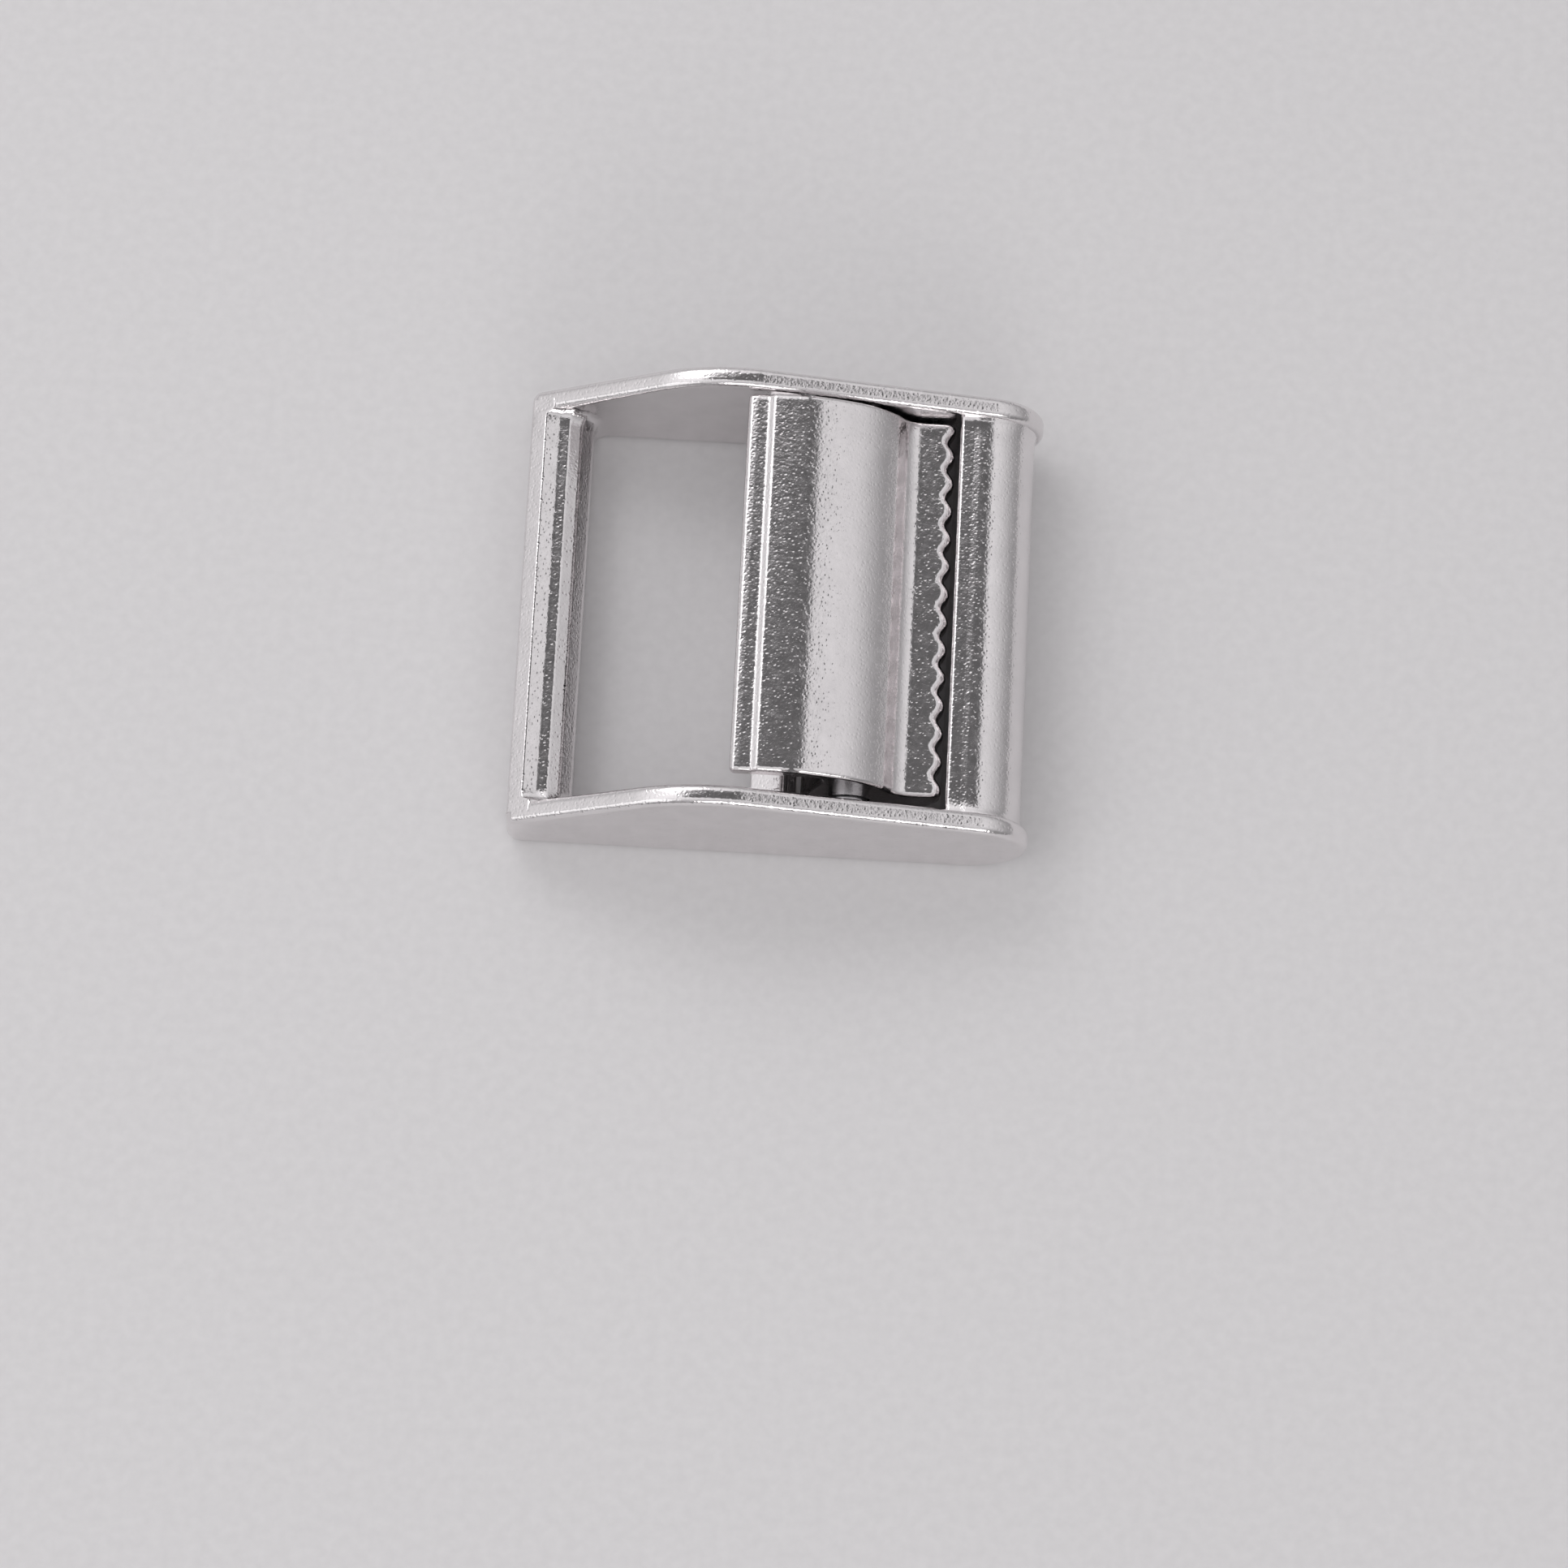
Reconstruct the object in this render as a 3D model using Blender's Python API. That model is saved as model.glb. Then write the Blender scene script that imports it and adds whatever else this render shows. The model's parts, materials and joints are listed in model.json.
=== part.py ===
"""Spring-loaded cam buckle for 38 mm webbing.

A cast frame (two side walls, an anchor bar, a stop bar and a clamp bar) carries a cast
cam lever on a steel pin. A torsion spring in the lever's hub holds the toothed nose
against the clamp bar. Pressing the lever's lip down swings the teeth up and away.

X runs along the webbing (anchor bar at -X, clamp bar at +X), Y across it, Z up.
The origin is at the centre of the underside. Dimensions are in millimetres, and every
shape is scaled to metres as it is made.
"""

import math

import bmesh
import bpy
from mathutils import Matrix

MM = 0.001

# Frame
LENGTH = 50.5
WIDTH = 44.5
WALL = 2.1
WALL_EDGE = 0.4  # rounding of a wall's edges
LEFT_HEIGHT = 6.4  # height of the anchor end
RISE = math.radians(33.0)  # slope of a wall's top edge up from the anchor end
FALL = math.radians(10.7)  # slope of a wall's top edge down to the clamp end
CREST = (-8.0, 17.58)  # where the two slopes would meet
CREST_RADIUS = 14.5

ANCHOR_INNER_X = -19.05
ANCHOR_TOP = 6.9
RIM = 1.4  # width of the raised rim along the anchor end
ANCHOR_FLARE = 1.1  # how far the bar widens where it meets a wall
CLAMP_FLARE = 0.42
FLARE_LENGTH = 1.4

CLAMP_FACE_X = 16.85
CLAMP_RADIUS = 5.4
CLAMP_INSET = 0.8  # how far the walls' rounded ends stand proud of the clamp bar

STOP_LEFT_X = -1.9
STOP_CREST_X = 1.3
STOP_LEDGE_X = 2.65
STOP_LEDGE_TOP = 4.7
STOP_BOTTOM = 2.6
STOP_GAP = 0.12  # left between lever and stop bar at full travel

# Cam lever
PIVOT_X = 7.6
PIVOT_Z = 7.5
TRAVEL = math.radians(30.0)
LEVER_WIDTH = 38.35
LEVER_Y = 0.675  # the lever sits against the far wall
LIP_X = -4.05
LIP_TOP = 15.85
LEVER_TOP = 16.3
LEVER_UNDERSIDE = 14.4
LEVER_EDGE = 0.3  # rounding of the lever's ends
THUMB_DROP = math.radians(60.0)  # steepest slope of the thumb face
THUMB_X = 9.1  # where that slope would meet the lever's flat top
THUMB_RADIUS = 9.2
WEB_X = 5.1
HUB_RADIUS = 4.6
NOSE_X = 16.5
NOSE_TOP = 10.5
TOOTH_BOTTOM = 8.2
TOOTH_CENTRE_Y = 0.915  # middle gap between teeth
TOOTH_PITCH = 2.848
TOOTH_DEPTH = 0.6
TOOTH_STEPS = 8  # outline points in one tooth

# Pin and spring
PIN_RADIUS = 2.0
PIN_FIT = 0.05  # radial gap in the frame, where the pin is pressed in
PIN_RUNNING = 0.1  # radial gap in the lever
PIN_SKIN = 0.6  # metal left outside the blind hole in the near wall
WIRE_RADIUS = 0.5
COIL_RADIUS = 2.85
COIL_PITCH = 1.15
COIL_TURNS = 3
COIL_STEPS = 16
SPRING_SLOT = 6.4  # width of the slot in the hub
SLOT_RADIUS = 3.7
TOUCH = 0.06  # gap kept where the spring's legs bear

INNER = WIDTH / 2 - WALL
CLAMP_CENTRE_X = LENGTH / 2 - CLAMP_INSET - CLAMP_RADIUS
CLAMP_CENTRE_Z = CLAMP_RADIUS + CLAMP_INSET


def make_material(name, colour, roughness):
    material = bpy.data.materials.new(name)
    material.use_nodes = True
    shader = material.node_tree.nodes["Principled BSDF"]
    shader.inputs["Base Color"].default_value = (*colour, 1.0)
    shader.inputs["Metallic"].default_value = 1.0
    shader.inputs["Roughness"].default_value = roughness
    return material


def make_collection(name):
    collection = bpy.data.collections.new(name)
    bpy.context.scene.collection.children.link(collection)
    return collection


def arc(centre, radius, start, end, steps):
    """Points on a circle from one angle to another, both included."""
    angles = (start + (end - start) * i / steps for i in range(steps + 1))
    return [(centre[0] + radius * math.cos(a), centre[1] + radius * math.sin(a)) for a in angles]


def rounded(corners, degrees_per_step=9.0):
    """An outline through corners (x, y, radius), each rounded by its radius."""
    outline = []
    for i, (x, y, radius) in enumerate(corners):
        before, after = corners[i - 1], corners[(i + 1) % len(corners)]
        into = math.atan2(y - before[1], x - before[0])
        out = math.atan2(after[1] - y, after[0] - x)
        turn = (out - into + math.pi) % (2 * math.pi) - math.pi
        if radius == 0 or abs(turn) < 1e-6:
            outline.append((x, y))
            continue
        side = math.copysign(1.0, turn)
        back = radius * math.tan(abs(turn) / 2)
        start = (x - back * math.cos(into), y - back * math.sin(into))
        centre = (start[0] - side * radius * math.sin(into), start[1] + side * radius * math.cos(into))
        first = into - side * math.pi / 2
        steps = max(2, round(math.degrees(abs(turn)) / degrees_per_step))
        outline += arc(centre, radius, first, first + turn, steps)
    return outline


def curve_to_mesh(curve_object, name):
    """The curve's evaluated shape as a closed mesh object, in place of the curve."""
    bpy.context.view_layer.update()
    graph = bpy.context.evaluated_depsgraph_get()
    mesh = bpy.data.meshes.new_from_object(curve_object.evaluated_get(graph))
    shape = bmesh.new()
    shape.from_mesh(mesh)
    bmesh.ops.remove_doubles(shape, verts=shape.verts, dist=1e-6)
    bmesh.ops.dissolve_limit(shape, angle_limit=0.001, verts=shape.verts, edges=shape.edges)
    bmesh.ops.recalc_face_normals(shape, faces=shape.faces)
    shape.to_mesh(mesh)
    shape.free()
    place = curve_object.matrix_world.copy()
    data = curve_object.data
    bpy.data.objects.remove(curve_object)
    bpy.data.curves.remove(data)
    mesh.name = name
    made = bpy.data.objects.new(name, mesh)
    made.matrix_world = place
    return made


def prism(name, outline, low, high, edge=0.0, upright=True):
    """An outline made solid between two planes, with its edges rounded by edge.

    Upright, the outline is in X and Z and the solid runs along Y; otherwise the
    outline is in X and Y and the solid runs along Z.
    """
    curve = bpy.data.curves.new(name, "CURVE")
    curve.dimensions = "2D"
    curve.fill_mode = "BOTH"
    curve.extrude = ((high - low) / 2 - edge) * MM
    curve.bevel_depth = edge * MM
    curve.bevel_resolution = 2
    curve.offset = -edge * MM
    spline = curve.splines.new("POLY")
    spline.points.add(len(outline) - 1)
    for point, (x, y) in zip(spline.points, outline):
        point.co = (x * MM, y * MM, 0.0, 1.0)
    spline.use_cyclic_u = True
    made = bpy.data.objects.new(name, curve)
    bpy.context.scene.collection.objects.link(made)
    middle = (low + high) / 2 * MM
    if upright:
        made.matrix_world = Matrix.Translation((0, middle, 0)) @ Matrix.Rotation(math.pi / 2, 4, "X")
    else:
        made.matrix_world = Matrix.Translation((0, 0, middle))
    return curve_to_mesh(made, name)


def flared_bar(name, outline, flare):
    """A bar along Y between the walls, widened by flare(x, z) where it meets each of them."""
    steps = 5
    ring_places = []
    for i in range(steps + 1):
        along = math.sin(math.pi / 2 * i / steps)
        ring_places.append((INNER - FLARE_LENGTH * along, 1 - math.sqrt(1 - (1 - along) ** 2)))
    ring_places.insert(0, (INNER + WALL / 2, 1.0))
    ring_places += [(-y, share) for y, share in reversed(ring_places)]
    directions = []
    for i, (x, z) in enumerate(outline):
        before, after = outline[i - 1], outline[(i + 1) % len(outline)]
        into = math.atan2(z - before[1], x - before[0])
        turn = (math.atan2(after[1] - z, after[0] - x) - into + math.pi) % (2 * math.pi) - math.pi
        outward = into + turn / 2 - math.pi / 2
        directions.append((math.cos(outward) * flare(x, z), math.sin(outward) * flare(x, z)))
    shape = bmesh.new()
    rings = []
    for y, share in ring_places:
        ring = []
        for (x, z), (out_x, out_z) in zip(outline, directions):
            ring.append(shape.verts.new(((x + share * out_x) * MM, y * MM, (z + share * out_z) * MM)))
        rings.append(ring)
    for ring, following in zip(rings, rings[1:]):
        for i in range(len(outline)):
            shape.faces.new((ring[i - 1], ring[i], following[i], following[i - 1]))
    shape.faces.new(rings[0])
    shape.faces.new(rings[-1])
    bmesh.ops.recalc_face_normals(shape, faces=shape.faces)
    mesh = bpy.data.meshes.new(name)
    shape.to_mesh(mesh)
    shape.free()
    return bpy.data.objects.new(name, mesh)


def rod(name, radius, low, high, sides=32):
    """A cylinder along Y on the pivot axis."""
    shape = bmesh.new()
    bmesh.ops.create_cone(
        shape, cap_ends=True, segments=sides, radius1=radius * MM, radius2=radius * MM, depth=(high - low) * MM
    )
    mesh = bpy.data.meshes.new(name)
    shape.to_mesh(mesh)
    shape.free()
    made = bpy.data.objects.new(name, mesh)
    place = Matrix.Translation((PIVOT_X * MM, (low + high) / 2 * MM, PIVOT_Z * MM))
    made.matrix_world = place @ Matrix.Rotation(math.pi / 2, 4, "X")
    return made


def combine(target, other, operation, helpers):
    """Joins another shape to the target, or cuts it away, and keeps it as a hidden helper."""
    helpers.objects.link(other)
    other.hide_render = True
    other.display_type = "WIRE"
    modifier = target.modifiers.new(other.name, "BOOLEAN")
    modifier.operation = operation
    modifier.solver = "EXACT"
    modifier.object = other


def move_origin(made, x, y, z):
    """Puts the object's origin at a point, leaving its shape where it is."""
    place = Matrix.Translation((x * MM, y * MM, z * MM))
    made.data.transform(place.inverted() @ made.matrix_world)
    made.matrix_world = place


def finish(made, material, parts, smooth_angle=35.0):
    parts.objects.link(made)
    made.data.materials.clear()
    made.data.materials.append(material)
    made.data.shade_smooth()
    made.data.set_sharp_from_angle(angle=math.radians(smooth_angle))


def wall_outline():
    """A side wall: low at the anchor end, highest near the lip, full round at the clamp end."""
    left, right = -LENGTH / 2, LENGTH / 2
    nose_top = CREST[1] - math.tan(FALL) * (right - CREST[0])
    nose_radius = nose_top / (1 + math.tan((math.pi / 2 - FALL) / 2))
    left_top = CREST[1] - math.tan(RISE) * (CREST[0] - left)
    return rounded(
        [
            (left, 0.0, 1.6),
            (right, 0.0, nose_radius),
            (right, nose_top, nose_radius),
            (*CREST, CREST_RADIUS),
            (left, left_top, 0.6),
        ]
    )


def anchor_outline():
    """The anchor bar: a raised rim along the end, sloping down to a crowned bar."""
    left = -LENGTH / 2
    rim_right = left + RIM
    rim_top = LEFT_HEIGHT + RIM * math.tan(RISE)
    return rounded(
        [
            (left, 0.0, 1.6),
            (ANCHOR_INNER_X, 0.0, 0.8),
            (ANCHOR_INNER_X, ANCHOR_TOP - 2.3, 1.0),
            (ANCHOR_INNER_X - 1.2, ANCHOR_TOP - 0.65, 1.2),
            (ANCHOR_INNER_X - 2.4, ANCHOR_TOP, 1.2),
            (ANCHOR_INNER_X - 3.3, ANCHOR_TOP, 1.5),
            (rim_right, rim_top, 0.3),
            (left, LEFT_HEIGHT, 0.4),
        ]
    )


def clamp_outline():
    """The clamp bar: a flat face to the teeth, a low step on top, and a half-round outside."""
    top = CLAMP_CENTRE_Z + CLAMP_RADIUS
    bottom = CLAMP_CENTRE_Z - CLAMP_RADIUS
    right = CLAMP_CENTRE_X + CLAMP_RADIUS
    return rounded(
        [
            (CLAMP_FACE_X, bottom, 0.5),
            (right, bottom, CLAMP_RADIUS),
            (right, top, CLAMP_RADIUS),
            (CLAMP_FACE_X + 1.8, top, 0.0),
            (CLAMP_FACE_X + 1.4, top - 0.15, 0.0),
            (CLAMP_FACE_X, top - 0.15, 0.3),
        ]
    )


def anchor_flare(x, z):
    """The crowned bar widens at its ends, but its rim and underside don't."""
    return ANCHOR_FLARE * min(1.0, z / 2.5) if x > RIM - LENGTH / 2 + 0.1 else 0.0


def clamp_flare(x, z):
    """The clamp bar widens at its ends everywhere but on the face to the teeth."""
    return CLAMP_FLARE * min(1.0, max(0.0, x - CLAMP_FACE_X))


def stop_outline():
    """The stop bar: its top is tilted as the pressed lever's underside is, and a ledge holds the spring."""
    reach = LEVER_UNDERSIDE - PIVOT_Z - STOP_GAP

    def stop_height(x):
        return PIVOT_Z + (reach + (x - PIVOT_X) * math.sin(TRAVEL)) / math.cos(TRAVEL)

    return rounded(
        [
            (STOP_LEFT_X, STOP_BOTTOM, 0.4),
            (STOP_LEDGE_X, STOP_BOTTOM, 0.4),
            (STOP_LEDGE_X, STOP_LEDGE_TOP, 0.2),
            (STOP_CREST_X + 0.35, STOP_LEDGE_TOP, 0.0),
            (STOP_CREST_X, stop_height(STOP_CREST_X), 0.2),
            (STOP_LEFT_X, stop_height(STOP_LEFT_X), 0.2),
        ]
    )


def lever_outline():
    """The lever's section: lip, flat top, sloped thumb face, toothed nose, round hub and web."""
    nose_foot = 5.5
    foot_angle = math.asin((nose_foot - PIVOT_Z) / HUB_RADIUS)
    web_angle = math.pi - math.asin(1.0 / HUB_RADIUS)
    crease_x = THUMB_X + (LEVER_TOP - NOSE_TOP) / math.tan(THUMB_DROP)
    hub = arc((PIVOT_X, PIVOT_Z), HUB_RADIUS, foot_angle, web_angle - 2 * math.pi, 24)
    lower = [(x, z, 0.0) for x, z in hub]
    return rounded(
        [
            (NOSE_X + 0.1, TOOTH_BOTTOM, 0.0),
            (NOSE_X + 0.1, NOSE_TOP, 0.0),
            (crease_x, NOSE_TOP, 1.2),
            (THUMB_X, LEVER_TOP, THUMB_RADIUS),
            (LIP_X + 2.55, LEVER_TOP, 0.35),
            (LIP_X + 2.1, LIP_TOP, 0.3),
            (LIP_X, LIP_TOP, 0.4),
            (LIP_X, LEVER_UNDERSIDE, 0.4),
            (WEB_X, LEVER_UNDERSIDE, 0.8),
            *reversed(lower),
            (NOSE_X - 1.9, nose_foot, 0.6),
        ][::-1]
    )


def tooth_outline():
    """What is cut from the nose: everything past a wave of vertical teeth."""
    count = math.ceil((LEVER_WIDTH / 2 + 1.0) / TOOTH_PITCH) * TOOTH_STEPS
    wave = []
    for i in range(-count, count + 1):
        depth = TOOTH_DEPTH * (1 + math.cos(2 * math.pi * i / TOOTH_STEPS)) / 2
        wave.append((NOSE_X - depth, TOOTH_CENTRE_Y + TOOTH_PITCH * i / TOOTH_STEPS))
    past = NOSE_X + 3.0
    return [(past, wave[0][1]), (past, wave[-1][1]), *reversed(wave)]


def slot_outline():
    """What is cut from the hub's middle for the spring: open to the left and below."""
    pivot = (PIVOT_X, PIVOT_Z)
    return [
        (LIP_X + 3.5, PIVOT_Z - HUB_RADIUS - 1.0),
        (PIVOT_X + SLOT_RADIUS, PIVOT_Z - HUB_RADIUS - 1.0),
        *arc(pivot, SLOT_RADIUS, 0.0, math.radians(48.0), 6),
        (WEB_X - 0.6, LEVER_UNDERSIDE),
        (LIP_X + 3.5, LEVER_UNDERSIDE),
    ]


def make_frame(material, parts, helpers):
    frame = prism("frame", wall_outline(), -WIDTH / 2, -INNER, WALL_EDGE)
    far_wall = prism("far_wall", wall_outline(), INNER, WIDTH / 2, WALL_EDGE)
    combine(frame, far_wall, "UNION", helpers)
    into_wall = INNER + WALL / 2
    combine(frame, flared_bar("anchor_bar", anchor_outline(), anchor_flare), "UNION", helpers)
    combine(frame, prism("stop_bar", stop_outline(), -into_wall, into_wall), "UNION", helpers)
    combine(frame, flared_bar("clamp_bar", clamp_outline(), clamp_flare), "UNION", helpers)
    hole = rod("pin_hole", PIN_RADIUS + PIN_FIT, PIN_SKIN - WIDTH / 2, WIDTH / 2 + 1.0)
    combine(frame, hole, "DIFFERENCE", helpers)
    finish(frame, material, parts)
    return frame


def make_lever(material, parts, helpers):
    low, high = LEVER_Y - LEVER_WIDTH / 2, LEVER_Y + LEVER_WIDTH / 2
    lever = prism("cam_lever", lever_outline(), low, high, LEVER_EDGE)
    combine(lever, prism("teeth", tooth_outline(), 4.0, 12.0, upright=False), "DIFFERENCE", helpers)
    half_slot = SPRING_SLOT / 2
    slot = prism("spring_slot", slot_outline(), LEVER_Y - half_slot, LEVER_Y + half_slot)
    combine(lever, slot, "DIFFERENCE", helpers)
    bore = rod("lever_bore", PIN_RADIUS + PIN_RUNNING, low - 1.0, high + 1.0)
    combine(lever, bore, "DIFFERENCE", helpers)
    move_origin(lever, PIVOT_X, LEVER_Y, PIVOT_Z)
    finish(lever, material, parts)
    return lever


def make_pin(material, parts):
    pin = rod("pivot_pin", PIN_RADIUS, PIN_SKIN - WIDTH / 2 + PIN_FIT, WIDTH / 2 - PIN_FIT)
    finish(pin, material, parts)
    return pin


def tangent_angle(point, side):
    """The angle on the coil's circle at which a straight leg to the point leaves it."""
    dx, dz = point[0] - PIVOT_X, point[1] - PIVOT_Z
    return math.atan2(dz, dx) + side * math.acos(COIL_RADIUS / math.hypot(dx, dz))


def spring_route():
    """Leg on the stop bar's ledge, the coil round the pin, then the leg under the lever."""
    frame_tip = (STOP_CREST_X + 0.7, STOP_LEDGE_TOP + WIRE_RADIUS + 3 * TOUCH)
    lever_tip = (LIP_X + 3.6, LEVER_UNDERSIDE - WIRE_RADIUS - TOUCH)
    start = tangent_angle(frame_tip, 1)
    end = tangent_angle(lever_tip, -1) + 2 * math.pi * COIL_TURNS
    steps = round(COIL_STEPS * (end - start) / (2 * math.pi))
    length = COIL_PITCH * (end - start) / (2 * math.pi)
    low = LEVER_Y - length / 2
    route = [(frame_tip[0], low, frame_tip[1])]
    for i in range(steps + 1):
        angle = start + (end - start) * i / steps
        x = PIVOT_X + COIL_RADIUS * math.cos(angle)
        z = PIVOT_Z + COIL_RADIUS * math.sin(angle)
        route.append((x, low + length * i / steps, z))
    route.append((lever_tip[0], low + length, lever_tip[1]))
    return route


def make_spring(material, parts):
    curve = bpy.data.curves.new("return_spring", "CURVE")
    curve.dimensions = "3D"
    curve.bevel_depth = WIRE_RADIUS * MM
    curve.bevel_resolution = 2
    curve.use_fill_caps = True
    route = spring_route()
    spline = curve.splines.new("POLY")
    spline.points.add(len(route) - 1)
    for point, place in zip(spline.points, route):
        point.co = (*(value * MM for value in place), 1.0)
    made = bpy.data.objects.new("return_spring", curve)
    bpy.context.scene.collection.objects.link(made)
    spring = curve_to_mesh(made, "return_spring")
    finish(spring, material, parts)
    return spring


def main():
    for old in list(bpy.data.objects):
        bpy.data.objects.remove(old)
    parts = make_collection("cam_buckle")
    helpers = make_collection("cutters")
    nickel = make_material("nickel_plate", (0.78, 0.76, 0.74), 0.22)
    lever_nickel = make_material("lever_nickel_plate", (0.80, 0.78, 0.76), 0.22)
    steel = make_material("pin_steel", (0.62, 0.62, 0.63), 0.3)
    wire = make_material("spring_wire", (0.45, 0.45, 0.47), 0.35)
    make_frame(nickel, parts, helpers)
    make_lever(lever_nickel, parts, helpers)
    make_pin(steel, parts)
    make_spring(wire, parts)


main()
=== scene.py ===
"""Looks of a spring-loaded cam buckle: cast frame, toothed lever, pin and spring.

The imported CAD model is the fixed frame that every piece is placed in. Each CAD node is
stood for by a finer piece with softened edges, flared bar ends and rounded teeth.
Sizes are in millimetres and are scaled to metres as each mesh is made.
"""

import json
import math

import bmesh
import bpy
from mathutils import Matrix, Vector


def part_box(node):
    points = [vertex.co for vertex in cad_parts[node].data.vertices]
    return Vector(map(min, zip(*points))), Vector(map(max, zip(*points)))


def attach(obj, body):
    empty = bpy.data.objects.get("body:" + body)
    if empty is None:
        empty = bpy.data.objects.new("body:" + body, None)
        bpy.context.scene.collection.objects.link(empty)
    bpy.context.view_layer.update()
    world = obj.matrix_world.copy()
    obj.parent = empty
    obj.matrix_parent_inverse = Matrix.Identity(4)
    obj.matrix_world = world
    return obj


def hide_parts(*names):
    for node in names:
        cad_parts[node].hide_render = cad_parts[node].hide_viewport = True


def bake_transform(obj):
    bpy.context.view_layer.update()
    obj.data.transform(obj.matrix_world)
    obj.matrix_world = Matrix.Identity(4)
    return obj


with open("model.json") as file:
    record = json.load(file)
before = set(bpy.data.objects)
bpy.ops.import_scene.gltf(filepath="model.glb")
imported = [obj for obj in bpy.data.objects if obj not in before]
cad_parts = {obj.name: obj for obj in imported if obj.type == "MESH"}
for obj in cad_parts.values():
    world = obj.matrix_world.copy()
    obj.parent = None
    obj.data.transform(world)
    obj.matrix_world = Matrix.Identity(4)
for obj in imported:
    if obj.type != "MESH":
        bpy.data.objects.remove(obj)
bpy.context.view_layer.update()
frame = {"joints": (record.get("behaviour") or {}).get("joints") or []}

MM = 0.001

# The frame's outside, read from the CAD frame
FRAME_LOW, FRAME_HIGH = (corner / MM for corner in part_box("frame"))
LEFT, RIGHT = FRAME_LOW.x, FRAME_HIGH.x
HALF_WIDTH = FRAME_HIGH.y
WALL = 2.1
INNER = HALF_WIDTH - WALL
WALL_EDGE = 0.75  # rounding of a wall's edges
WALL_CORNER = 1.0  # rounding of its upright corners at the left; at most half of WALL
LEFT_HEIGHT = 6.4
RISE = math.radians(33.0)
FALL = math.radians(10.7)
CREST = Vector((-8.0, 17.565))
CREST_RADIUS = 14.5

# Bars
FLARE_LENGTH = 1.5  # how far from a wall a bar starts to widen
SKIN = 0.02  # keeps a bar's faces off the walls' own
RIM = 1.4
RIM_FLARE = 0.75
ANCHOR_RIGHT = -19.05
ANCHOR_TOP = 6.9
ANCHOR_FLARE = 1.1
ANCHOR_LIFT = 0.6  # how much the bar's crown rises where it meets a wall
CLAMP_FACE = 16.85
CLAMP_RADIUS = 5.4
CLAMP_CENTRE = Vector((RIGHT - 6.2, 6.2))
CLAMP_FLARE = 0.2
CLAMP_STEP = 0.06  # drop of the ledge beside the teeth
STOP_FLARE = 0.3
STOP_LEFT = -1.9
STOP_CREST = 1.3
STOP_LEDGE_RIGHT = 2.65
STOP_LEDGE_TOP = 4.7
STOP_BOTTOM = 2.6

# Lever
LEVER_LOW, LEVER_HIGH = (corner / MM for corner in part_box("cam_lever"))
PIVOT = Vector(frame["joints"][0]["pos_m"]) / MM
TRAVEL = math.radians(frame["joints"][0]["range_deg"][1])
LEVER_TOP = LEVER_HIGH.z
LEVER_UNDERSIDE = 14.4
LEVER_EDGE = 0.5
LIP_TOP = 15.85
NOSE_TOP = 10.5
HUB_RADIUS = 4.6
SLOT_RADIUS = 3.7
SLOT_WIDTH = 6.4
TOOTH_CENTRE = 0.915
TOOTH_PITCH = 2.848
TOOTH_DEPTH = 0.6
TOOTH_POWER = 1.3  # over 1 makes the valleys narrower than the teeth
TOOTH_RINGS = 12

# Pin and spring
PIN_LOW, PIN_HIGH = (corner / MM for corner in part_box("pivot_pin"))
PIN_RADIUS = 2.0
PIN_FIT = 0.05  # radial gap in the frame
PIN_RUNNING = 0.1  # radial gap in the lever
CHAMFER = 0.3
HOLE_CHAMFER = 0.25
WIRE_RADIUS = 0.5
COIL_RADIUS = 2.85
COIL_PITCH = 1.15
COIL_TURNS = 3
COIL_STEPS = 40
TOUCH = 0.06  # gap kept where two pieces bear on each other

SHARP_ANGLE = 38.0  # edges that bend further stay sharp
MERGE_DISTANCE = 1e-6


# ---------------------------------------------------------------- outlines


def arc(centre, radius, start, end, steps):
    """Points on a circle from one angle to another, both included."""
    angles = (start + (end - start) * i / steps for i in range(steps + 1))
    return [(centre[0] + radius * math.cos(a), centre[1] + radius * math.sin(a)) for a in angles]


def rounded(corners):
    """An outline through corners (x, z, radius, steps), each rounded by its radius."""
    outline = []
    for i, (x, z, radius, steps) in enumerate(corners):
        before, after = corners[i - 1], corners[(i + 1) % len(corners)]
        if steps == 0:
            outline.append((x, z))
            continue
        into = math.atan2(z - before[1], x - before[0])
        out = math.atan2(after[1] - z, after[0] - x)
        turn = (out - into + math.pi) % (2 * math.pi) - math.pi
        side = math.copysign(1.0, turn)
        back = radius * math.tan(abs(turn) / 2)
        start = (x - back * math.cos(into), z - back * math.sin(into))
        centre = (start[0] - side * radius * math.sin(into), start[1] + side * radius * math.cos(into))
        first = into - side * math.pi / 2
        outline += arc(centre, radius, first, first + turn, steps)
    return [point for i, point in enumerate(outline) if math.dist(point, outline[i - 1]) > 1e-4]


def outward_directions(outline):
    """For each point, the way out of a counterclockwise outline, lengthened at its corners."""
    directions = []
    for i, (x, z) in enumerate(outline):
        before, after = outline[i - 1], outline[(i + 1) % len(outline)]
        into = math.atan2(z - before[1], x - before[0])
        turn = (math.atan2(after[1] - z, after[0] - x) - into + math.pi) % (2 * math.pi) - math.pi
        outward = into + turn / 2 - math.pi / 2
        reach = 1.0 / max(0.5, math.cos(turn / 2))
        directions.append((math.cos(outward) * reach, math.sin(outward) * reach))
    return directions


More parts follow.
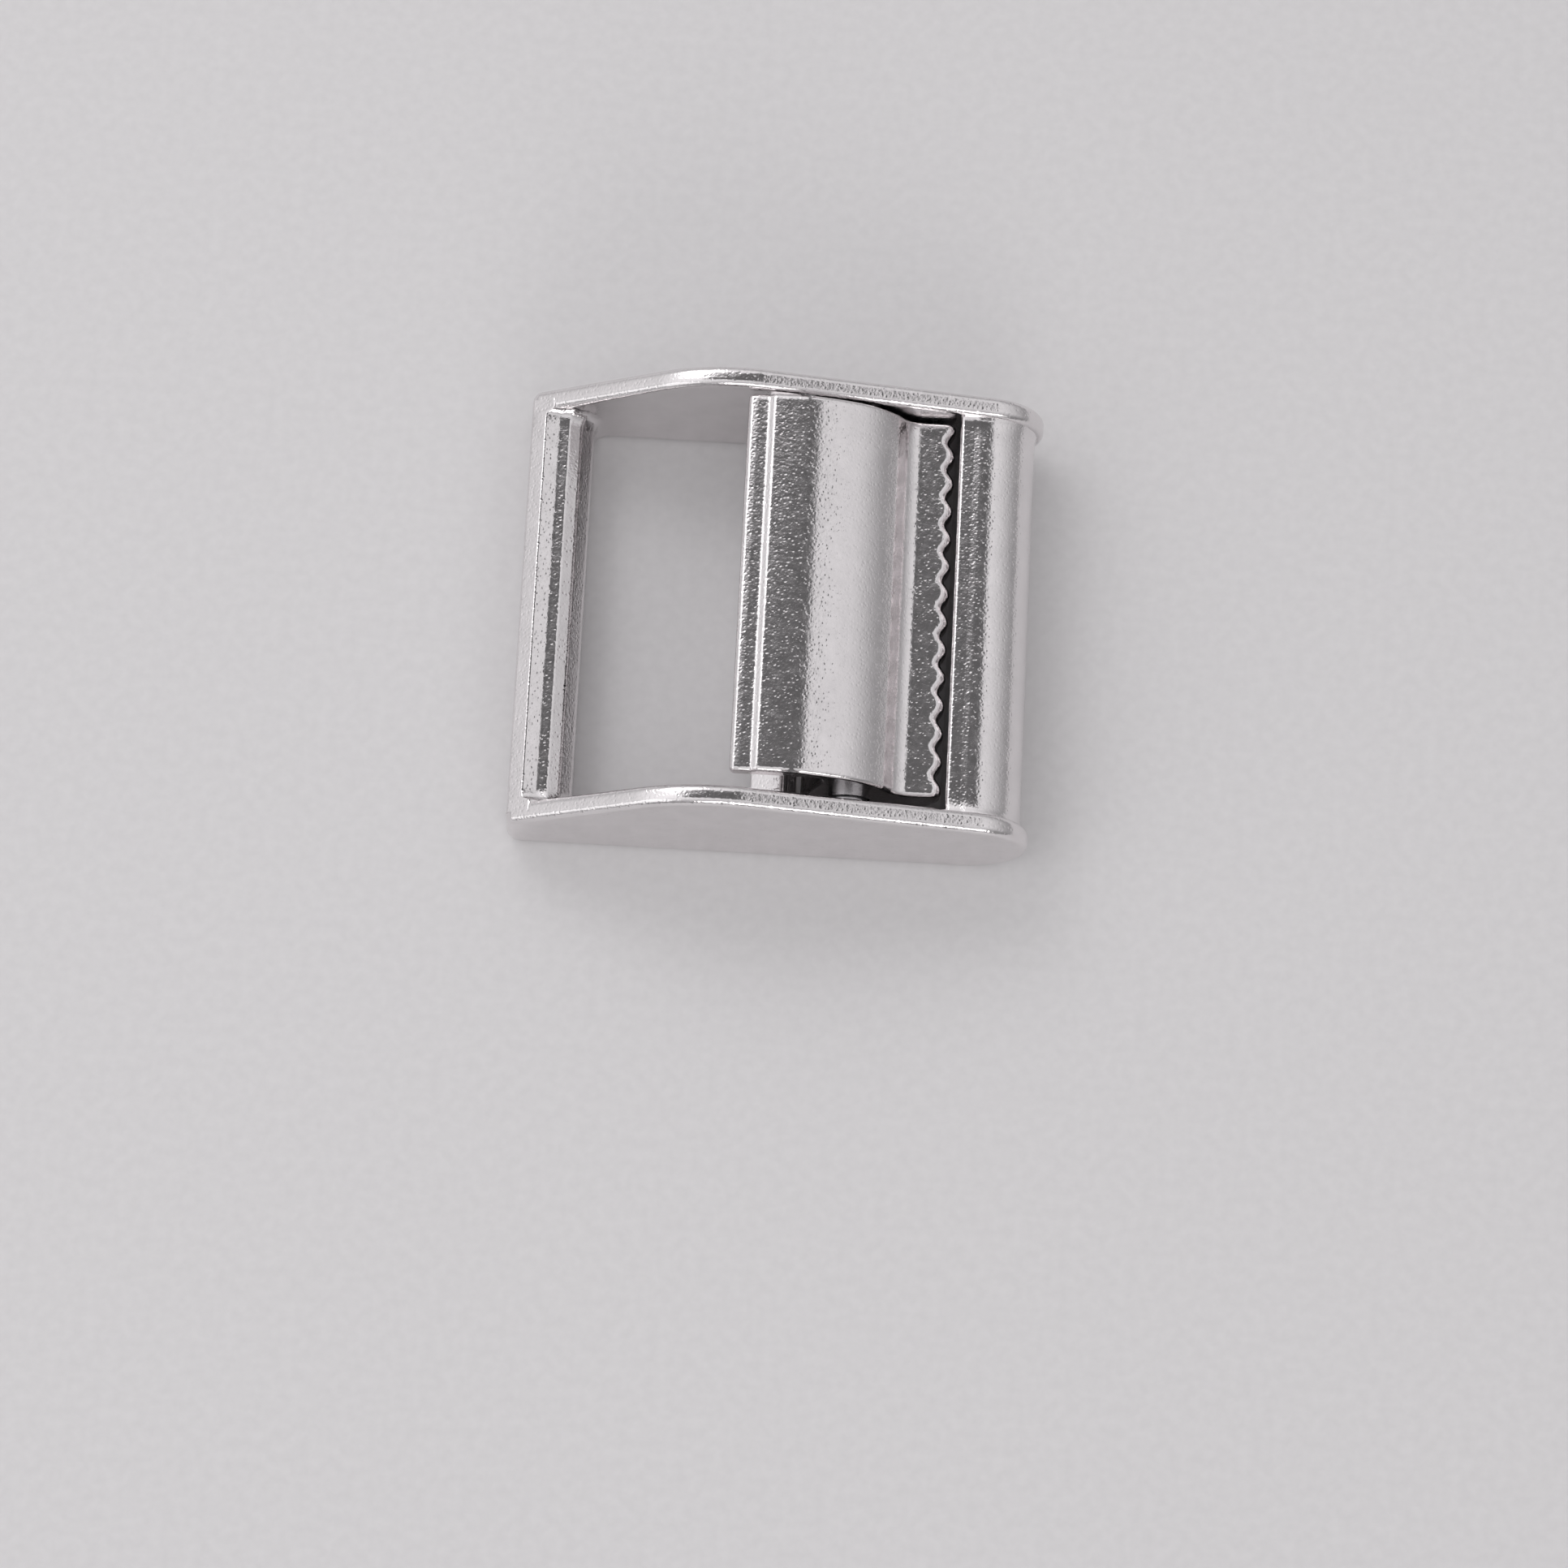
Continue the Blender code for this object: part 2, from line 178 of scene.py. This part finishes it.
def wall_outline():
    nose_top = CREST.y - math.tan(FALL) * (RIGHT - CREST.x)
    nose_radius = nose_top / (1 + math.tan((math.pi / 2 - FALL) / 2))
    left_top = CREST.y - math.tan(RISE) * (CREST.x - LEFT)
    return rounded(
        [
            (LEFT, 0.0, 1.6, 10),
            (RIGHT, 0.0, nose_radius, 24),
            (RIGHT, nose_top, nose_radius, 24),
            (CREST.x, CREST.y, CREST_RADIUS, 20),
            (LEFT, left_top, 1.3, 12),
        ]
    )


def anchor_outline(flare):
    """The anchor bar's section: a raised rim sloping down to a crowned bar.

    In each of the three bars' sections flare runs from 0, mid-bar, to 1 at a wall.
    """
    left = LEFT + SKIN
    rim_right = left + RIM + RIM_FLARE * flare**2
    rim_top = LEFT_HEIGHT + (rim_right - left) * math.tan(RISE)
    right = ANCHOR_RIGHT + ANCHOR_FLARE * flare
    top = ANCHOR_TOP + ANCHOR_LIFT * flare
    return rounded(
        [
            (left, SKIN, 1.6, 10),
            (right, SKIN, 0.8, 6),
            (right, top - 2.3, 1.1, 6),
            (right - 1.2, top - 0.65, 1.2, 6),
            (right - 2.4 - 0.5 * flare, top, 0.8, 6),
            (right - 3.3 - 0.7 * flare, top, 1.5, 8),
            (rim_right, rim_top, 0.3, 8),
            (left, LEFT_HEIGHT, 0.4, 6),
        ]
    )


def clamp_outline(flare):
    """The clamp bar's section: flat face to the teeth, low step on top, half-round outside."""
    radius = CLAMP_RADIUS + CLAMP_FLARE * flare
    centre = CLAMP_CENTRE
    top, bottom, right = centre.y + radius, centre.y - radius, centre.x + radius
    return rounded(
        [
            (CLAMP_FACE, bottom, 0.6, 6),
            (right, bottom, radius, 20),
            (right, top, radius, 20),
            (CLAMP_FACE + 1.95, top, 0.5, 4),
            (CLAMP_FACE + 1.35, top - CLAMP_STEP, 0.5, 4),
            (CLAMP_FACE, top - CLAMP_STEP, 0.4, 6),
        ]
    )


def stop_outline(flare):
    """The stop bar's section: a top tilted as the pressed lever is, and a ledge for the spring."""
    reach = LEVER_UNDERSIDE - PIVOT.z - 2 * TOUCH
    spread = STOP_FLARE * flare

    def stop_height(x):
        return PIVOT.z + (reach + (x - PIVOT.x) * math.sin(TRAVEL)) / math.cos(TRAVEL)

    return rounded(
        [
            (STOP_LEFT - spread, STOP_BOTTOM - spread, 0.5, 5),
            (STOP_LEDGE_RIGHT, STOP_BOTTOM - spread, 0.5, 5),
            (STOP_LEDGE_RIGHT, STOP_LEDGE_TOP, 0.25, 4),
            (STOP_CREST + 0.35, STOP_LEDGE_TOP, 0.2, 4),
            (STOP_CREST, stop_height(STOP_CREST), 0.3, 5),
            (STOP_LEFT - spread, stop_height(STOP_LEFT - spread), 0.3, 5),
        ]
    )


def lever_outline(front):
    """The lever's section with its teeth's face at x = front."""
    nose_foot = PIVOT.z - 2.0
    foot_angle = math.asin((nose_foot - PIVOT.z) / HUB_RADIUS)
    web_angle = math.pi - math.asin(1.0 / HUB_RADIUS)
    hub = arc((PIVOT.x, PIVOT.z), HUB_RADIUS, foot_angle, web_angle - 2 * math.pi, 40)
    lip = LEVER_LOW.x
    crest = LEVER_TOP
    corners = [
        (LEVER_HIGH.x - 1.9, nose_foot, 0.6, 5),
        (front - 0.05, PIVOT.z + 0.7, 0.6, 5),
        (front, NOSE_TOP, 1.05, 10),
        (12.12, NOSE_TOP, 2.3, 10),
        (10.8, crest - 3.92, 3.0, 5),
        (8.7, crest - 1.93, 9.0, 10),
        (5.6, crest - 0.8, 24.0, 7),
        (2.6, crest - 0.09, 9.5, 8),
        (0.9, crest, 28.0, 5),
        (-1.5, crest - 0.06, 0.7, 7),
        (lip + 2.0, LIP_TOP, 0.7, 5),
        (lip + 0.95, LIP_TOP, 1.5, 5),
        (lip, LIP_TOP - 0.12, 0.55, 9),
        (lip, LEVER_UNDERSIDE, 0.55, 6),
        (5.1, LEVER_UNDERSIDE, 0.8, 6),
    ]
    return rounded(corners + [(x, z, 0.0, 0) for x, z in reversed(hub)])


def slot_outline():
    """The slot for the spring in the lever's hub, open to the left and below."""
    pivot = (PIVOT.x, PIVOT.z)
    return [
        (LEVER_LOW.x + 3.5, PIVOT.z - HUB_RADIUS - 1.0),
        (PIVOT.x + SLOT_RADIUS, PIVOT.z - HUB_RADIUS - 1.0),
        *arc(pivot, SLOT_RADIUS, 0.0, math.radians(48.0), 10),
        (4.5, LEVER_UNDERSIDE),
        (LEVER_LOW.x + 3.5, LEVER_UNDERSIDE),
    ]


# ---------------------------------------------------------------- meshes


def mesh_object(name, shape):
    """A linked mesh object made from a bmesh in metres."""
    bmesh.ops.recalc_face_normals(shape, faces=shape.faces)
    mesh = bpy.data.meshes.new(name)
    shape.to_mesh(mesh)
    shape.free()
    made = bpy.data.objects.new(name, mesh)
    bpy.context.scene.collection.objects.link(made)
    return made


def loft(name, rings):
    """A closed skin through rings of (x, y, z) points in millimetres, with flat ends."""
    shape = bmesh.new()
    made = [[shape.verts.new(Vector(point) * MM) for point in ring] for ring in rings]
    for ring, following in zip(made, made[1:]):
        for i in range(len(ring)):
            shape.faces.new((ring[i - 1], ring[i], following[i], following[i - 1]))
    shape.faces.new(made[0])
    shape.faces.new(made[-1])
    return mesh_object(name, shape)


def end_rounding(low, high, radius, steps):
    """Places along Y, and how deep each is below the nearer end, for ends rounded by up to radius."""
    depths = [radius * (1 - math.cos(math.pi / 2 * i / steps)) for i in range(steps + 1)]
    return [(low + depth, depth) for depth in depths] + [(high - depth, depth) for depth in reversed(depths)]


def inset(depth, radius):
    """How far a rounded edge stands in from the outline at this depth below the end."""
    return radius - math.sqrt(radius**2 - max(0.0, radius - depth) ** 2)


def ring_at(outline, directions, y, insets):
    """The outline at y, each of its points moved in by its own inset."""
    points = zip(outline, directions, insets)
    return [(x - back * dx, y, z - back * dz) for (x, z), (dx, dz), back in points]


def wall(name, low, high):
    """A side wall, with its edges rounded and its upright corners at the left rounded further."""
    outline = wall_outline()
    directions = outward_directions(outline)
    edges = [WALL_EDGE + (WALL_CORNER - WALL_EDGE) * max(0.0, -dx) ** 4 for dx, dz in directions]
    rings = []
    for y, depth in end_rounding(low, high, WALL_CORNER, 9):
        rings.append(ring_at(outline, directions, y, [inset(depth, edge) for edge in edges]))
    return loft(name, rings)


def flared_bar(name, outline, reach):
    """A bar along Y between the walls, whose section outline(flare) widens towards each wall."""
    steps = 8
    places = []
    for i in range(steps + 1):
        along = math.sin(math.pi / 2 * i / steps)
        places.append((INNER - FLARE_LENGTH * along, 1 - math.sqrt(1 - (1 - along) ** 2)))
    places.insert(0, (INNER + reach, 1.0))
    places += [(-y, share) for y, share in reversed(places)]
    return loft(name, [[(x, y, z) for x, z in outline(share)] for y, share in places])


def rod(name, profile, sides=64):
    """A closed turned shape on the pivot's axis, from a profile of (y, radius) points."""
    rings = []
    for y, radius in profile:
        turns = (2 * math.pi * i / sides for i in range(sides))
        rings.append([(PIVOT.x + radius * math.cos(a), y, PIVOT.z + radius * math.sin(a)) for a in turns])
    return loft(name, rings)


def boolean(target, cutter, operation):
    """Joins or cuts one mesh object with another, which is then removed."""
    modifier = target.modifiers.new("boolean", "BOOLEAN")
    modifier.operation = operation
    modifier.solver = "EXACT"
    modifier.object = cutter
    apply_modifiers(target)
    bpy.data.objects.remove(cutter)


def apply_modifiers(target):
    """Replaces the object's mesh with its evaluated one."""
    bpy.context.view_layer.update()
    graph = bpy.context.evaluated_depsgraph_get()
    mesh = bpy.data.meshes.new_from_object(target.evaluated_get(graph))
    target.modifiers.clear()
    target.data = mesh


def smooth(made):
    """Smooth shading that keeps flat faces flat and breaks only at real corners."""
    shape = bmesh.new()
    shape.from_mesh(made.data)
    bmesh.ops.remove_doubles(shape, verts=shape.verts, dist=MERGE_DISTANCE)
    bmesh.ops.dissolve_degenerate(shape, edges=shape.edges, dist=MERGE_DISTANCE)
    shape.to_mesh(made.data)
    shape.free()
    made.data.shade_smooth()
    made.data.set_sharp_from_angle(angle=math.radians(SHARP_ANGLE))
    weighted = made.modifiers.new("weighted_normals", "WEIGHTED_NORMAL")
    weighted.keep_sharp = True
    weighted.weight = 80


# ---------------------------------------------------------------- pieces


def make_frame():
    """The frame's casting: two walls joined by the three bars, with the pin's hole."""
    made = wall("buckle_frame", -HALF_WIDTH, -INNER)
    boolean(made, wall("far_wall", INNER, HALF_WIDTH), "UNION")
    boolean(made, flared_bar("stop_bar", stop_outline, WALL / 2), "UNION")
    boolean(made, flared_bar("anchor_bar", anchor_outline, WALL / 2), "UNION")
    boolean(made, flared_bar("clamp_bar", clamp_outline, WALL / 2), "UNION")
    hole = PIN_RADIUS + PIN_FIT
    profile = [
        (PIN_LOW.y - PIN_FIT, hole),
        (HALF_WIDTH - HOLE_CHAMFER, hole),
        (HALF_WIDTH, hole + HOLE_CHAMFER),
        (HALF_WIDTH + 1.0, hole + CHAMFER),
    ]
    boolean(made, rod("pin_hole", profile), "DIFFERENCE")
    return made


def make_lever():
    """The lever's casting, lofted through its teeth, then slotted for the spring and bored."""
    low, high = LEVER_LOW.y, LEVER_HIGH.y
    places = end_rounding(low, high, LEVER_EDGE, 6)
    steps = round(TOOTH_RINGS * (high - low) / TOOTH_PITCH)
    middle = [(low + (high - low) * i / steps, LEVER_EDGE) for i in range(1, steps)]
    places += [place for place in middle if low + LEVER_EDGE < place[0] < high - LEVER_EDGE]
    rings = []
    for y, depth in sorted(places):
        valley = (1 + math.cos(2 * math.pi * (y - TOOTH_CENTRE) / TOOTH_PITCH)) / 2
        outline = lever_outline(LEVER_HIGH.x - TOOTH_DEPTH * valley**TOOTH_POWER)
        insets = [inset(depth, LEVER_EDGE)] * len(outline)
        rings.append(ring_at(outline, outward_directions(outline), y, insets))
    made = loft("thumb_lever", rings)
    half_slot = SLOT_WIDTH / 2
    centre = (low + high) / 2
    slot = [[(x, y, z) for x, z in slot_outline()] for y in (centre - half_slot, centre + half_slot)]
    boolean(made, loft("spring_slot", slot), "DIFFERENCE")
    bore = PIN_RADIUS + PIN_RUNNING
    mouth = bore + CHAMFER
    profile = [
        (low - 1.0, mouth),
        (low, mouth),
        (low + CHAMFER, bore),
        (high - CHAMFER, bore),
        (high, mouth),
        (high + 1.0, mouth),
    ]
    boolean(made, rod("bore", profile), "DIFFERENCE")
    return made


def make_pin():
    """The cross pin: chamfered at its blind end, rounded at the end that shows."""
    low, high = PIN_LOW.y, PIN_HIGH.y
    neck, radius = PIN_RADIUS - CHAMFER, PIN_RADIUS
    profile = [(low, neck), (low + CHAMFER, radius), (high - CHAMFER, radius)]
    for angle in (0.4, 0.8, 1.2):
        profile.append((high - CHAMFER + CHAMFER * math.sin(angle), neck + CHAMFER * math.cos(angle)))
    profile.append((high, neck - 0.05))
    return rod("cross_pin", profile)


def tangent_angle(point, side):
    """The angle on the coil's circle at which a straight leg to the point leaves it."""
    dx, dz = point[0] - PIVOT.x, point[1] - PIVOT.z
    return math.atan2(dz, dx) + side * math.acos(COIL_RADIUS / math.hypot(dx, dz))


def make_spring():
    """The leg on the stop bar's ledge, the coil round the pin, and the leg under the lever."""
    frame_tip = (STOP_CREST + 0.7, STOP_LEDGE_TOP + WIRE_RADIUS + 3 * TOUCH)
    lever_tip = (LEVER_LOW.x + 3.6, LEVER_UNDERSIDE - WIRE_RADIUS - TOUCH)
    start = tangent_angle(frame_tip, 1)
    end = tangent_angle(lever_tip, -1) + 2 * math.pi * COIL_TURNS
    steps = round(COIL_STEPS * (end - start) / (2 * math.pi))
    length = COIL_PITCH * (end - start) / (2 * math.pi)
    low = (LEVER_LOW.y + LEVER_HIGH.y) / 2 - length / 2
    route = [(frame_tip[0], low, frame_tip[1])]
    for i in range(steps + 1):
        angle = start + (end - start) * i / steps
        x = PIVOT.x + COIL_RADIUS * math.cos(angle)
        z = PIVOT.z + COIL_RADIUS * math.sin(angle)
        route.append((x, low + length * i / steps, z))
    route.append((lever_tip[0], low + length, lever_tip[1]))
    curve = bpy.data.curves.new("coil_spring", "CURVE")
    curve.dimensions = "3D"
    curve.bevel_depth = WIRE_RADIUS * MM
    curve.bevel_resolution = 5
    curve.use_fill_caps = True
    spline = curve.splines.new("POLY")
    spline.points.add(len(route) - 1)
    for point, place in zip(spline.points, route):
        point.co = (*(value * MM for value in place), 1.0)
    wire = bpy.data.objects.new("wire", curve)
    bpy.context.scene.collection.objects.link(wire)
    bpy.context.view_layer.update()
    graph = bpy.context.evaluated_depsgraph_get()
    mesh = bpy.data.meshes.new_from_object(wire.evaluated_get(graph))
    bpy.data.objects.remove(wire)
    made = bpy.data.objects.new("coil_spring", mesh)
    bpy.context.scene.collection.objects.link(made)
    return made, low, low + length


# ---------------------------------------------------------------- materials


def new_material(name):
    material = bpy.data.materials.new(name)
    material.use_nodes = True
    return material, material.node_tree.nodes, material.node_tree.links


def noise(nodes, links, coordinates, scale, detail):
    texture = nodes.new("ShaderNodeTexNoise")
    texture.inputs["Scale"].default_value = scale
    texture.inputs["Detail"].default_value = detail
    links.new(coordinates, texture.inputs["Vector"])
    return texture


def ramp(nodes, links, source, stops):
    """A colour ramp through stops of (place, colour)."""
    made = nodes.new("ShaderNodeValToRGB")
    elements = made.color_ramp.elements
    while len(elements) < len(stops):
        elements.new(0.5)
    for element, (place, colour) in zip(elements, stops):
        element.position = place
        element.color = (*colour, 1.0)
    links.new(source, made.inputs["Fac"])
    return made


def bump(nodes, links, height, distance, strength, normal=None):
    made = nodes.new("ShaderNodeBump")
    made.inputs["Distance"].default_value = distance
    made.inputs["Strength"].default_value = strength
    links.new(height, made.inputs["Height"])
    if normal:
        links.new(normal, made.inputs["Normal"])
    return made


def node_math(nodes, links, operation, *terms):
    """A math node on numbers and sockets."""
    made = nodes.new("ShaderNodeMath")
    made.operation = operation
    for socket, term in zip(made.inputs, terms):
        if isinstance(term, float):
            socket.default_value = term
        else:
            links.new(term, socket)
    return made.outputs["Value"]


def soft_step(nodes, links, value, start, end, low=0.0, high=1.0):
    """Runs smoothly from low, where the value is start, to high, where it is end."""
    made = nodes.new("ShaderNodeMapRange")
    made.interpolation_type = "SMOOTHSTEP"
    for name, number in zip(("From Min", "From Max", "To Min", "To Max"), (start, end, low, high)):
        made.inputs[name].default_value = number
    links.new(value, made.inputs["Value"])
    return made.outputs["Result"]


def cast_metal(name, tint, roughness):
    """Bright cast steel: a finely pitted, tumbled skin over a slow waviness, with faint stains."""
    material, nodes, links = new_material(name)
    shader = nodes["Principled BSDF"]
    shader.inputs["Metallic"].default_value = 1.0
    place = nodes.new("ShaderNodeTexCoord").outputs["Object"]
    peel = noise(nodes, links, place, 3300.0, 2.0)
    pits = nodes.new("ShaderNodeTexVoronoi")
    pits.inputs["Scale"].default_value = 2300.0
    links.new(place, pits.inputs["Vector"])
    dimples = soft_step(nodes, links, pits.outputs["Distance"], 0.08, 0.42)
    waves = noise(nodes, links, place, 240.0, 1.0)
    stains = noise(nodes, links, place, 420.0, 4.0)
    worn = noise(nodes, links, place, 1500.0, 3.0)
    colour = ramp(nodes, links, stains.outputs["Fac"], [
        (0.3, tuple(0.93 * value for value in tint)),
        (0.7, tint),
    ])
    links.new(colour.outputs["Color"], shader.inputs["Base Color"])
    gloss = ramp(nodes, links, worn.outputs["Fac"], [
        (0.3, (roughness - 0.04,) * 3),
        (0.7, (roughness + 0.07,) * 3),
    ])
    links.new(gloss.outputs["Color"], shader.inputs["Roughness"])
    slow = bump(nodes, links, waves.outputs["Fac"], 0.000016, 1.0)
    pocked = bump(nodes, links, dimples, 0.000012, 1.0, slow.outputs["Normal"])
    fine = bump(nodes, links, peel.outputs["Fac"], 0.000019, 1.0, pocked.outputs["Normal"])
    links.new(fine.outputs["Normal"], shader.inputs["Normal"])
    return material


def drawn_steel(name, tint, roughness, along):
    """Plain steel with fine lines along one axis."""
    material, nodes, links = new_material(name)
    shader = nodes["Principled BSDF"]
    shader.inputs["Metallic"].default_value = 1.0
    place = nodes.new("ShaderNodeTexCoord").outputs["Object"]
    stretch = nodes.new("ShaderNodeMapping")
    stretch.inputs["Scale"].default_value = along
    links.new(place, stretch.inputs["Vector"])
    lines = noise(nodes, links, stretch.outputs["Vector"], 3000.0, 3.0)
    colour = ramp(nodes, links, lines.outputs["Fac"], [
        (0.3, tuple(0.85 * value for value in tint)),
        (0.7, tint),
    ])
    links.new(colour.outputs["Color"], shader.inputs["Base Color"])
    gloss = ramp(nodes, links, lines.outputs["Fac"], [
        (0.3, (roughness - 0.05,) * 3),
        (0.7, (roughness + 0.1,) * 3),
    ])
    links.new(gloss.outputs["Color"], shader.inputs["Roughness"])
    ridges = bump(nodes, links, lines.outputs["Fac"], 0.00001, 0.5)
    links.new(ridges.outputs["Normal"], shader.inputs["Normal"])
    return material


def floor_material():
    material, nodes, links = new_material("pale_floor")
    shader = nodes["Principled BSDF"]
    shader.inputs["Roughness"].default_value = 0.55
    place = nodes.new("ShaderNodeTexCoord").outputs["Object"]
    grain = noise(nodes, links, place, 900.0, 3.0)
    colour = ramp(nodes, links, grain.outputs["Fac"], [
        (0.3, (0.74, 0.73, 0.735)),
        (0.7, (0.78, 0.77, 0.775)),
    ])
    links.new(colour.outputs["Color"], shader.inputs["Base Color"])
    return material


# ---------------------------------------------------------------- stage


def make_floor():
    shape = bmesh.new()
    bmesh.ops.create_grid(shape, x_segments=1, y_segments=1, size=1.5)
    floor = mesh_object("floor", shape)
    floor.location.z = FRAME_LOW.z * MM
    floor.data.materials.append(floor_material())


def make_camera():
    data = bpy.data.cameras.new("camera")
    data.sensor_width = 36.0
    data.lens = 128.03
    data.clip_start = 0.01
    camera = bpy.data.objects.new("camera", data)
    camera.location = (-0.00793, -0.17273, 0.52299)
    camera.rotation_euler = (math.radians(16.727), math.radians(-1.877), math.radians(2.793))
    bpy.context.scene.collection.objects.link(camera)
    bpy.context.scene.camera = camera


def area_light(name, place, size, power, colour):
    """A rectangular light aimed at the buckle."""
    data = bpy.data.lights.new(name, "AREA")
    data.shape = "RECTANGLE"
    data.size, data.size_y = size
    data.energy = power
    data.color = colour
    light = bpy.data.objects.new(name, data)
    light.location = place
    light.rotation_euler = (-Vector(place)).to_track_quat("-Z", "Y").to_euler()
    bpy.context.scene.collection.objects.link(light)


def make_world():
    """A bright tent, dimmer towards its foot, with a soft dark opening overhead."""
    world = bpy.data.worlds.new("studio")
    bpy.context.scene.world = world
    world.use_nodes = True
    nodes, links = world.node_tree.nodes, world.node_tree.links
    split = nodes.new("ShaderNodeSeparateXYZ")
    links.new(nodes.new("ShaderNodeTexCoord").outputs["Generated"], split.inputs["Vector"])
    x, y, z = split.outputs
    slanted = node_math(nodes, links, "MULTIPLY_ADD", y, -3.7, x)
    opening = soft_step(nodes, links, slanted, -1.66, -1.5)
    for value, start, end in ((x, -0.5, -0.36), (x, 0.42, 0.30), (y, -0.25, -0.05)):
        edge = soft_step(nodes, links, value, start, end)
        opening = node_math(nodes, links, "MULTIPLY", opening, edge)
    glow = soft_step(nodes, links, z, 0.0, 0.9, 0.36, 0.85)
    for value, start, end, low, high in ((x, -0.9, 0.9, 1.4, 0.9), (y, -0.9, 0.1, 0.6, 1.0)):
        side = soft_step(nodes, links, value, start, end, low, high)
        glow = node_math(nodes, links, "MULTIPLY", glow, side)
    shade = node_math(nodes, links, "MULTIPLY_ADD", opening, -0.87, 1.0)
    links.new(node_math(nodes, links, "MULTIPLY", glow, shade), nodes["Background"].inputs["Strength"])
    nodes["Background"].inputs["Color"].default_value = (1.0, 0.985, 1.0, 1.0)


def light_scene():
    make_world()
    area_light("far_left_box", (-0.30, 0.38, 0.48), (0.40, 0.30), 0.55, (1.0, 0.99, 1.0))
    area_light("left_box", (-0.42, -0.32, 0.26), (0.35, 0.35), 0.25, (1.0, 1.0, 1.0))
    area_light("front_box", (0.15, -0.75, 0.35), (0.60, 0.30), 1.2, (1.0, 0.985, 0.98))


def stand_in(made, material, body, node):
    """Dresses a rigid piece, rides it on its body and lets it stand for its CAD node."""
    made.data.materials.clear()
    made.data.materials.append(material)
    smooth(made)
    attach(made, body)
    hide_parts(node)


def main():
    make_camera()
    light_scene()
    make_floor()
    cast = cast_metal("cast_steel", (0.83, 0.805, 0.81), 0.14)
    lever_cast = cast_metal("lever_cast_steel", (0.83, 0.805, 0.81), 0.14)

    stand_in(make_frame(), cast, "frame", "frame")
    stand_in(make_lever(), lever_cast, "lever", "cam_lever")
    ground = drawn_steel("ground_steel", (0.62, 0.62, 0.63), 0.25, (0.3, 3.0, 0.3))
    stand_in(make_pin(), ground, "frame", "pivot_pin")

    spring, low, high = make_spring()
    spring.data.materials.append(drawn_steel("spring_steel", (0.45, 0.45, 0.47), 0.3, (1.0, 1.0, 1.0)))
    smooth(spring)
    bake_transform(spring)
    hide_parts("return_spring")

    bpy.context.scene.view_settings.view_transform = "Standard"


main()
